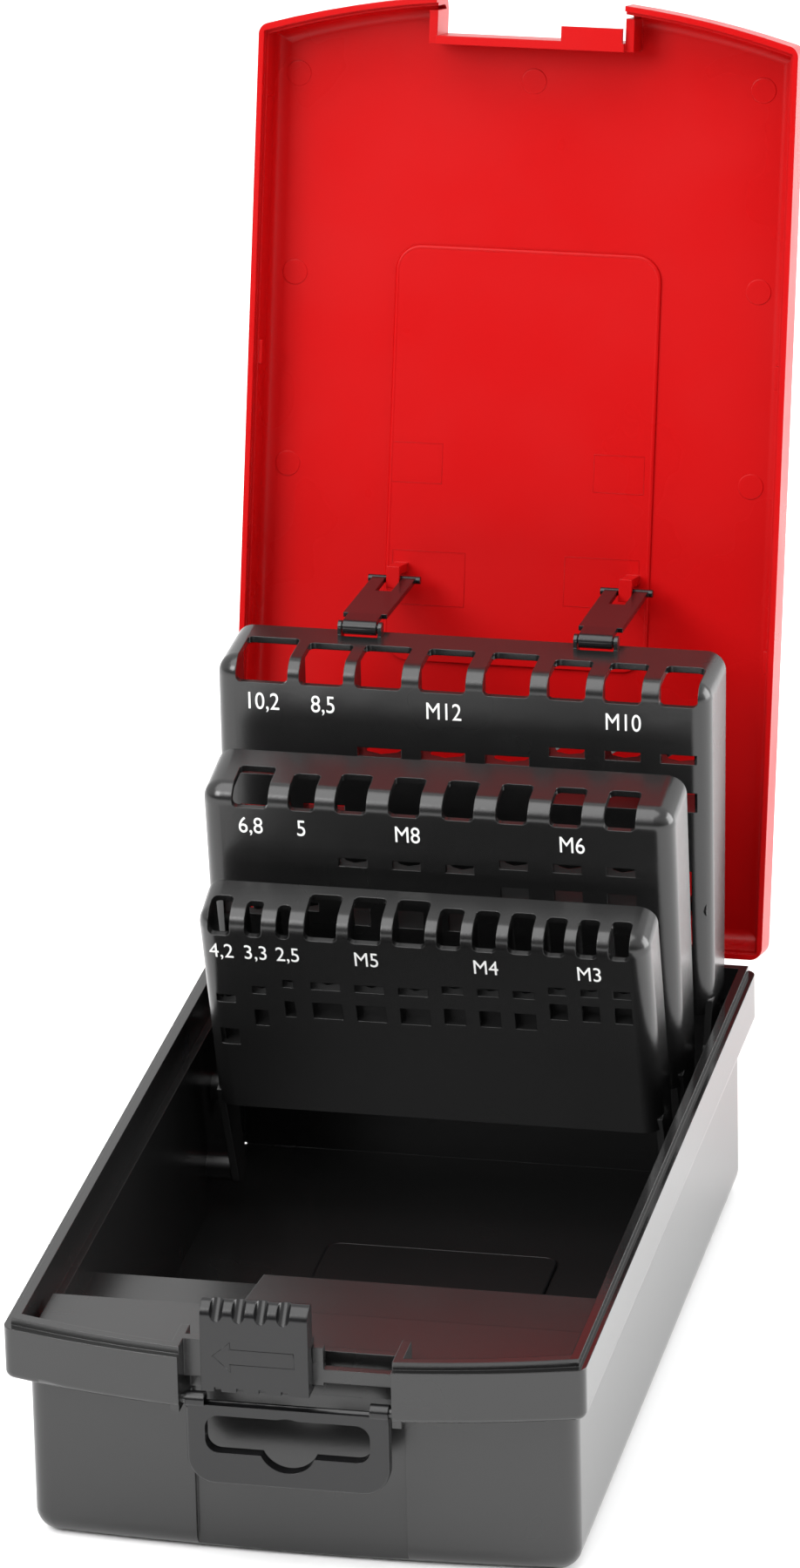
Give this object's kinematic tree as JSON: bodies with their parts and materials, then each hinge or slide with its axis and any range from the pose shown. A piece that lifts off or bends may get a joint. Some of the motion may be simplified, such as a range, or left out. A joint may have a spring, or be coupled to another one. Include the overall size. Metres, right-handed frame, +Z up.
{
  "type": "drill and tap case",
  "caption": "Hinged-lid plastic case for taps and tap drills, shown open with its raised tool banks, sliding latch and folding hanging loop.",
  "frame": {"origin": "middle of the base's flat underside, halfway along the collar's sides, on the surface it stands on", "axes": "+Z up, +X across the case to its right side seen from the latch, +Y from the latch to the lid hinge"},
  "size_m": [0.115, 0.2706, 0.2396],
  "materials": {
    "black_pebble": "fine pebble grain, satin",
    "black_smooth": "smooth satin",
    "red_lid": "satin gloss",
    "steel": "plain drawn wire"
  },
  "bodies": {
    "base": {"base_case": "black_pebble", "hinge_pin": "steel"},
    "lid": {"lid": "red_lid"},
    "bank_rear": {"bank_rear": "black_pebble"},
    "bank_middle": {"bank_middle": "black_pebble"},
    "bank_front": {"bank_front": "black_pebble"},
    "link_front_left": {"link_front_left": "black_smooth"},
    "link_front_right": {"link_front_right": "black_smooth"},
    "link_middle_left": {"link_middle_left": "black_smooth"},
    "link_middle_right": {"link_middle_right": "black_smooth"},
    "strap_left": {"strap_left": "black_smooth"},
    "strap_right": {"strap_right": "black_smooth"},
    "latch_slider": {"latch_slider": "black_smooth"},
    "hanging_loop": {"hanging_loop": "black_smooth"}
  },
  "joints": [
    {"name": "lid_hinge", "type": "hinge", "parent": "base", "child": "lid", "pos_m": [0, 0.0987, 0.0456], "axis": [1, 0, 0], "range_deg": [0, 105.6]},
    {"name": "bank_rear_hinge", "type": "hinge", "parent": "base", "child": "bank_rear", "pos_m": [0, 0.0736, 0.0389], "axis": [1, 0, 0], "range_deg": [0, 90]},
    {"name": "bank_middle_hinge", "type": "hinge", "parent": "base", "child": "bank_middle", "pos_m": [0, 0.0638, 0.0279], "axis": [1, 0, 0], "range_deg": [0, 82.6]},
    {"name": "bank_front_hinge", "type": "hinge", "parent": "base", "child": "bank_front", "pos_m": [0, 0.0572, 0.0125], "axis": [1, 0, 0], "range_deg": [0, 73.6]},
    {"name": "link_front_left_hinge", "type": "hinge", "parent": "bank_middle", "child": "link_front_left", "pos_m": [-0.0444, 0.05489, 0.06963], "axis": [-1, 0, 0], "range_deg": [0, 81.35]},
    {"name": "link_middle_left_hinge", "type": "hinge", "parent": "bank_rear", "child": "link_middle_left", "pos_m": [-0.04665, 0.0765, 0.07037], "axis": [-1, 0, 0], "range_deg": [0, 89.91]},
    {"name": "link_front_right_hinge", "type": "hinge", "parent": "bank_middle", "child": "link_front_right", "pos_m": [0.0444, 0.05489, 0.06963], "axis": [-1, 0, 0], "range_deg": [0, 81.35]},
    {"name": "link_middle_right_hinge", "type": "hinge", "parent": "bank_rear", "child": "link_middle_right", "pos_m": [0.04665, 0.0765, 0.07037], "axis": [-1, 0, 0], "range_deg": [0, 89.91]},
    {"name": "strap_left_hinge", "type": "hinge", "parent": "bank_rear", "child": "strap_left", "pos_m": [-0.025, 0.092, 0.1221], "axis": [-1, 0, 0], "range_deg": [0, 95.04]},
    {"name": "strap_right_hinge", "type": "hinge", "parent": "bank_rear", "child": "strap_right", "pos_m": [0.025, 0.092, 0.1221], "axis": [-1, 0, 0], "range_deg": [0, 95.04]},
    {"name": "latch_slide", "type": "slide", "parent": "base", "child": "latch_slider", "axis": [1, 0, 0], "range_m": [0, 0.014]},
    {"name": "loop_hinge", "type": "hinge", "parent": "base", "child": "hanging_loop", "pos_m": [0, -0.1005, 0.0381], "axis": [-1, 0, 0], "range_deg": [0, 95]}
  ],
  "couplings": [
    {"joint": "bank_rear_hinge", "follows": "lid_hinge", "ratio": 0.85227},
    {"joint": "bank_middle_hinge", "follows": "lid_hinge", "ratio": 0.7822},
    {"joint": "bank_front_hinge", "follows": "lid_hinge", "ratio": 0.69697},
    {"joint": "link_front_left_hinge", "follows": "lid_hinge", "ratio": 0.7704},
    {"joint": "link_middle_left_hinge", "follows": "lid_hinge", "ratio": 0.8514},
    {"joint": "link_front_right_hinge", "follows": "lid_hinge", "ratio": 0.7704},
    {"joint": "link_middle_right_hinge", "follows": "lid_hinge", "ratio": 0.8514},
    {"joint": "strap_left_hinge", "follows": "lid_hinge", "ratio": 0.9},
    {"joint": "strap_right_hinge", "follows": "lid_hinge", "ratio": 0.9}
  ]
}
